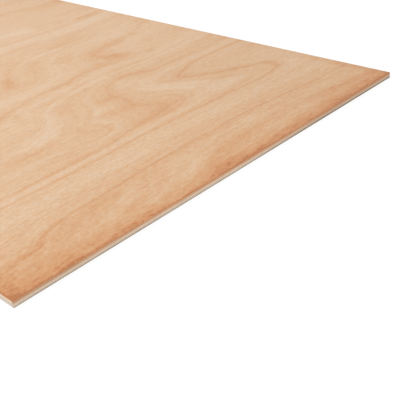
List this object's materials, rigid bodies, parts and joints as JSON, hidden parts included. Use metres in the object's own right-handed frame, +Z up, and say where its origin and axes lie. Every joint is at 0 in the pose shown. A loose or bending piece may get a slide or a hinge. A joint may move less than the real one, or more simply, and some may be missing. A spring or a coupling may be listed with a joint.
{
  "type": "plywood sheet",
  "caption": "Thin cut-to-size plywood sheet of crossed plies, with a warm figured hardwood show face and lightly sanded sawn edges.",
  "frame": {"origin": "middle of the back face, which the sheet rests on", "axes": "+X across the sheet, along the show face's grain; +Y along the sheet's length; +Z up, out of the show face"},
  "size_m": [0.406, 0.813, 0.005],
  "materials": {
    "back_veneer": "plain grey-brown hardwood veneer, sanded, unfinished",
    "core_veneer": "pale cream core veneer, sawn at the edges",
    "face_veneer": "rotary-cut reddish hardwood veneer with cathedral figure, sanded, unfinished"
  },
  "bodies": {
    "root": {"back_veneer": "back_veneer", "core_veneer": "core_veneer", "face_veneer": "face_veneer"}
  },
  "joints": []
}
